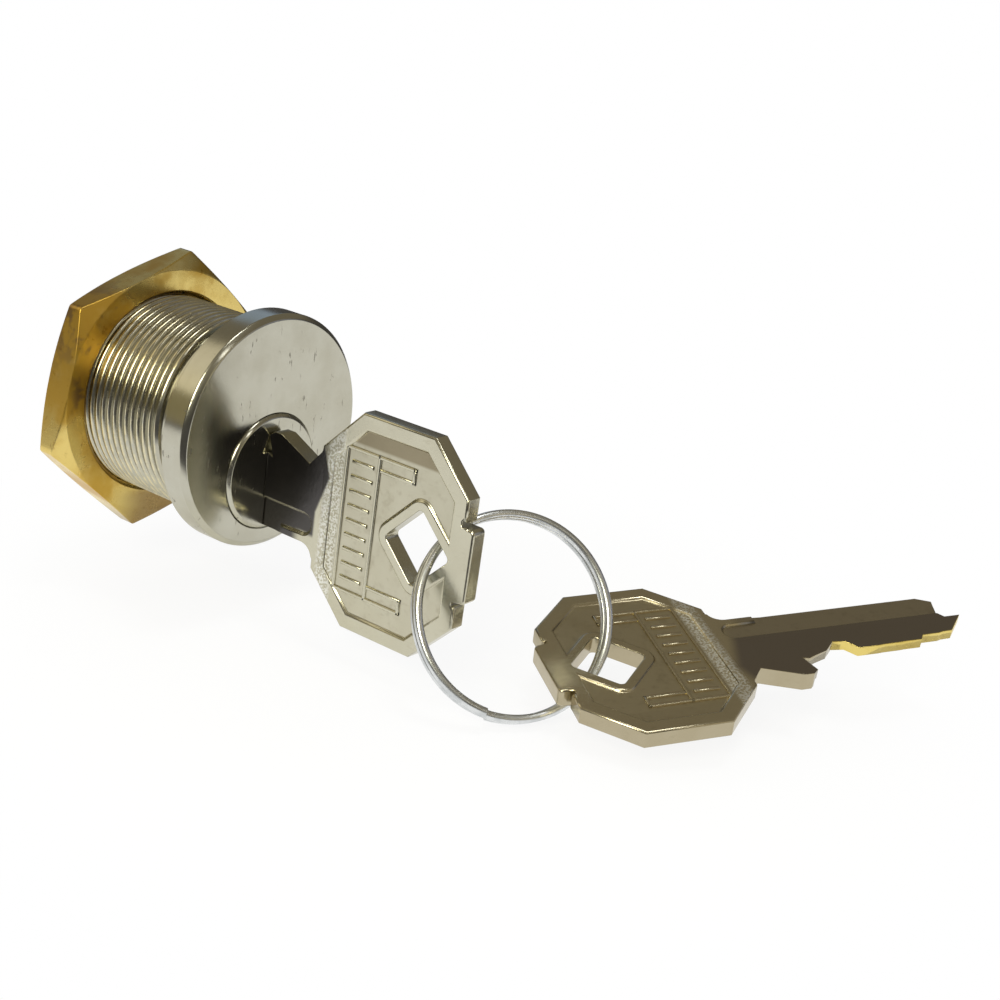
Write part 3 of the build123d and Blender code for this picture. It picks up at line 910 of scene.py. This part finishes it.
# %% [markdown]
# ## The split ring
# A split ring is two full turns of wire that lie against each other. The CAD model stops a little
# short of the second turn. Here the same wire starts earlier and is wound on until its end meets
# its start, where no key reaches when it slides round the ring. A circle stands across the wire's
# path and is spun round the ring's axis, climbing as it goes.

# %% Wind the split ring
RING_CENTRE = (5.47, -36.58, -12.42)
RING_AXIS = (-0.474, -0.712, 0.518)
RING_R = 11.3
RING_WIRE_R = 0.5
RING_PITCH = 1.04
RING_CAD_TURNS = 1.85
RING_TURNS = 1.99
RING_LEAD_DEG = 18.0
RING_STEPS_PER_TURN = 120
RING_WIRE_SIDES = 24


def wind_ring():
    bm = bmesh.new()
    axis = Vector(RING_AXIS).normalized()
    down = Vector((0, 0, -1))
    out = (down - axis * down.dot(axis)).normalized()
    out = Matrix.Rotation(radians(-RING_LEAD_DEG), 3, axis) @ out
    along = axis.cross(out)
    turns_to_middle = RING_CAD_TURNS / 2 + RING_LEAD_DEG / 360
    start = Vector(RING_CENTRE) + out * RING_R - axis * RING_PITCH * turns_to_middle
    rise = RING_PITCH / (2 * pi * RING_R)
    path = (along + axis * rise).normalized()
    placed = Matrix.Translation(start * MM) @ path.to_track_quat("Z", "Y").to_matrix().to_4x4()
    circle = bmesh.ops.create_circle(
        bm, cap_ends=False, segments=RING_WIRE_SIDES, radius=RING_WIRE_R * MM, matrix=placed)
    first = bm.edges[:]
    steps = round(RING_TURNS * RING_STEPS_PER_TURN)
    made = bmesh.ops.spin(
        bm, geom=circle["verts"] + first, cent=Vector(RING_CENTRE) * MM, axis=axis,
        dvec=axis * RING_PITCH * RING_TURNS / steps * MM, angle=RING_TURNS * 2 * pi, steps=steps,
        use_merge=False)
    close_ends(bm, first, made)
    bmesh.ops.recalc_face_normals(bm, faces=bm.faces)
    return bm


finish_piece(
    wind_ring(), "closed_key_ring", "split_ring", "key_ring", [ring_steel])

# %% [markdown]
# ## The finishes of the CAD pieces
# The pins, the springs, the cam and its fastenings keep their CAD shape and only get their finish.
# The nodes that a copy stands for get theirs as well.

# %% Finish the CAD pieces
finish_of = {
    "housing": plate, "plug": plate, "hex_nut": nut_brass, "key_ring": ring_steel,
    "inserted_key": light_silver, "spare_key": dark_silver, "stop_washer": zinc_plate,
    "cam": zinc_plate, "cam_lock_washer": zinc_plate, "cam_screw": zinc_plate}
for number in range(1, 6):
    finish_of[f"key_pin_{number}"] = pin_brass
    finish_of[f"driver_pin_{number}"] = pin_brass
    finish_of[f"pin_spring_{number}"] = spring_wire
    finish_of[f"chamber_plug_{number}"] = plate

for node, finish in finish_of.items():
    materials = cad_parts[node].data.materials
    materials.clear()
    materials.append(finish)
print("CAD pieces with a finish:", len(finish_of), "of", len(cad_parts))

# %% [markdown]
# ## The floor
# Metal shows what stands around it, so the room matters as much as the lamps. The lock lies on a
# sheet of white paper. Beyond the paper there is a dark table, and the photographer's own dark
# shape stands in front. Only mirror-like metal sees those two. To the eye the ground is plain
# white with a faint shadow. So the floor is part paint, which takes shadows, and part glow, and
# each kind of ray sees its own share of the two.

# %% Floor
FLOOR_GAP = 0.4
FLOOR_HALF_SIZE_M = 4.0
PAPER_R = 230.0
PAPER_FADE = 60.0
PHOTOGRAPHER_FROM = 37.0
PHOTOGRAPHER_LEFT_OF = 15.0
PHOTOGRAPHER_FADE = 13.0
PHOTOGRAPHER_SIDE_FADE = 12.0
CAMERA_SIDEWAYS = -0.45
SEEN_GLOW_IN_SHADOW = 0.86
MIRRORED_GLOW_BELOW = 0.08
MIRRORED_GLOW_AROUND = 0.96
SHADOW_CENTRE = (17.0, -23.0, 0.0)
SHADOW_ENDS = (35.0, 75.0)
UNDER_LOCK = (8.0, 2.0, 0.0)
UNDER_LOCK_ENDS = (12.0, 34.0)
DARK_TABLE = (0.045, 0.042, 0.046)
WHITE = (1.0, 1.0, 1.0)
PAPER_PAINT = (0.86, 0.86, 0.86, 1.0)
floor_z = cad_box[0][2] / MM - FLOOR_GAP


def stage_piece(name, bm, material):
    data = bpy.data.meshes.new(name)
    bm.to_mesh(data)
    bm.free()
    data.materials.append(material)
    made = bpy.data.objects.new(name, data)
    bpy.context.scene.collection.objects.link(made)
    return made


def distance_on_floor(place, point):
    return place.node("ShaderNodeVectorMath", {"operation": "DISTANCE"}, {
        0: stretched(place, (1.0, 1.0, 0.0)), 1: point}, "Value")


def white_paper():
    material, start = open_material("white_paper")
    place = millimetres(start)
    x, y, _ = parts_of(place)
    paper = 1 - step(length_of(place), PAPER_R, PAPER_R + PAPER_FADE)
    towards_camera = x * CAMERA_SIDEWAYS - y
    in_front = step(towards_camera, PHOTOGRAPHER_FROM, PHOTOGRAPHER_FROM + PHOTOGRAPHER_FADE)
    in_front = in_front * step(
        0 - x, PHOTOGRAPHER_LEFT_OF, PHOTOGRAPHER_LEFT_OF + PHOTOGRAPHER_SIDE_FADE)
    beyond_shadow = step(distance_on_floor(place, SHADOW_CENTRE), *SHADOW_ENDS)
    around_lock = step(distance_on_floor(place, UNDER_LOCK), *UNDER_LOCK_ENDS)
    seen_glow = SEEN_GLOW_IN_SHADOW + beyond_shadow * (1 - SEEN_GLOW_IN_SHADOW)
    mirrored_glow = MIRRORED_GLOW_BELOW + around_lock * (
        MIRRORED_GLOW_AROUND - MIRRORED_GLOW_BELOW)
    camera_ray = start.node("ShaderNodeLightPath", {}, {}, "Is Camera Ray")
    mirror_ray = start.node("ShaderNodeLightPath", {}, {}, "Is Glossy Ray")
    glass_ray = start.node("ShaderNodeLightPath", {}, {}, "Is Transmission Ray")
    mirrored = colour_between(DARK_TABLE, WHITE, paper * (1 - in_front))
    shown = colour_between(WHITE, mirrored, mirror_ray)
    paint = start.node("ShaderNodeBsdfDiffuse", {}, {"Color": PAPER_PAINT})
    glow = start.node("ShaderNodeEmission", {}, {"Color": shown, "Strength": 1.0})
    share = (camera_ray + glass_ray) * seen_glow + mirror_ray * mirrored_glow
    set_surface(start, start.node("ShaderNodeMixShader", {}, {0: share, 1: paint, 2: glow}))
    return material


floor_mesh = bmesh.new()
bmesh.ops.create_grid(
    floor_mesh, x_segments=1, y_segments=1, size=FLOOR_HALF_SIZE_M,
    matrix=Matrix.Translation((0, 0, floor_z * MM)))
stage_piece("floor", floor_mesh, white_paper())
print("floor at", round(floor_z, 2), "mm")

# %% [markdown]
# ## The room
# The room is a dome that only mirror-like metal sees. Its walls are dark low down and in half light
# towards the ceiling. A warm patch lies behind the lock on the left, a cool one high up behind it
# on the right, and the side in front is brighter, warm on the left and cool on the right. Places
# in the room are shares of its radius, and each pair of them is where a blend begins and ends.

# %% The dome of the room
ROOM_R = 0.9
ROOM_SEGMENTS = 64
ROOM_RINGS = 32
CEILING_Z = (0.27, 0.55)
BEHIND_Y = (0.40, 0.60)
BEHIND_LEFT_X = (0.40, 0.60)
BEHIND_Z = (-0.10, 0.0)
COOL_CORNER_AT = (0.56, 0.656, 0.51)
COOL_CORNER_EDGE = (0.965, 0.990)
COOL_FRONT_X = (0.20, 0.60)
FRONT_Y = (0.45, 0.65)
FRONT_X = (-0.35, -0.15)
FRONT_Z = (-0.01, 0.06)
FRONT_TOP_Z = (0.50, 0.60)
DARK_WALL = (0.070, 0.066, 0.062)
CEILING = (0.215, 0.190, 0.140)
BEHIND_LEFT = (0.34, 0.29, 0.16)
COOL_CORNER = (0.34, 0.42, 0.54)
FRONT_WARM = (0.56, 0.50, 0.37)
FRONT_COOL = (0.32, 0.33, 0.40)


def dim_room():
    material, start = open_material("dim_room")
    x, y, z = parts_of(stretched(millimetres(start), (MM / ROOM_R, MM / ROOM_R, MM / ROOM_R)))
    walls = colour_between(DARK_WALL, CEILING, step(z, *CEILING_Z))
    behind_left = step(y, *BEHIND_Y) * step(0 - x, *BEHIND_LEFT_X) * step(z, *BEHIND_Z)
    walls = colour_between(walls, BEHIND_LEFT, behind_left)
    corner_x, corner_y, corner_z = COOL_CORNER_AT
    towards_corner = x * corner_x + y * corner_y + z * corner_z
    walls = colour_between(walls, COOL_CORNER, step(towards_corner, *COOL_CORNER_EDGE))
    front_colour = colour_between(FRONT_WARM, FRONT_COOL, step(x, *COOL_FRONT_X))
    front = step(0 - y, *FRONT_Y) * step(x, *FRONT_X) * step(z, *FRONT_Z)
    walls = colour_between(walls, front_colour, front * (1 - step(z, *FRONT_TOP_Z)))
    set_surface(start, start.node("ShaderNodeEmission", {}, {"Color": walls, "Strength": 1.0}))
    return material


room_mesh = bmesh.new()
bmesh.ops.create_uvsphere(
    room_mesh, u_segments=ROOM_SEGMENTS, v_segments=ROOM_RINGS, radius=ROOM_R)
room = stage_piece("room", room_mesh, dim_room())
room.visible_camera = False
room.visible_diffuse = False
room.visible_shadow = False
room.visible_transmission = False
room.visible_volume_scatter = False
print("room radius in m:", ROOM_R)

# %% [markdown]
# ## The light
# The light is soft: a pale sky, a large window behind the lock on the left and a panel overhead.
# A side window and a ceiling lamp give the thread its bright streaks. The camera sees the sky as
# white.

# %% Sky and lamps
SKY_LIGHT = 0.65

world = bpy.data.worlds.new("pale_room")
world.use_nodes = True
world.node_tree.nodes.clear()
begin = Wire(world.node_tree)
camera_ray = begin.node("ShaderNodeLightPath", {}, {}, "Is Camera Ray")
sky = begin.node("ShaderNodeBackground", {}, {
    "Color": (*WHITE, 1.0), "Strength": SKY_LIGHT + camera_ray * (1 - SKY_LIGHT)})
begin.node("ShaderNodeOutputWorld", {}, {"Surface": sky})
bpy.context.scene.world = world


def add_panel(name, direction, distance_m, size_m, strength, colour=WHITE):
    """A square lamp that looks at the lock. strength is its brightness next to white."""
    data = bpy.data.lights.new(name, "AREA")
    data.shape = "SQUARE"
    data.size = size_m
    data.energy = strength * pi * size_m * size_m
    data.color = colour
    lamp = bpy.data.objects.new(name, data)
    lamp.location = Vector(direction).normalized() * distance_m
    lamp.rotation_euler = Vector(direction).to_track_quat("Z", "Y").to_euler()
    lamp.visible_camera = False
    bpy.context.scene.collection.objects.link(lamp)
    print("lamp:", name, "strength", strength)


add_panel("window", direction=(-0.42, 0.656, 0.61), distance_m=0.6, size_m=0.38,
          strength=0.75, colour=(1.0, 0.92, 0.72))
add_panel("overhead_panel", direction=(-0.154, -0.672, 0.727), distance_m=0.7, size_m=0.10,
          strength=3.5)
add_panel("side_window", direction=(-0.80, -0.32, 0.50), distance_m=0.6, size_m=0.25,
          strength=12.0, colour=(1.0, 0.97, 0.78))
add_panel("ceiling_lamp", direction=(-0.035, -0.193, 0.983), distance_m=0.7, size_m=0.18,
          strength=8.0, colour=(0.98, 1.0, 1.0))

# %% [markdown]
# ## The end
# Colours are shown as they are, without a film look.

# %% Picture settings and the end
bpy.context.scene.view_settings.view_transform = "Standard"
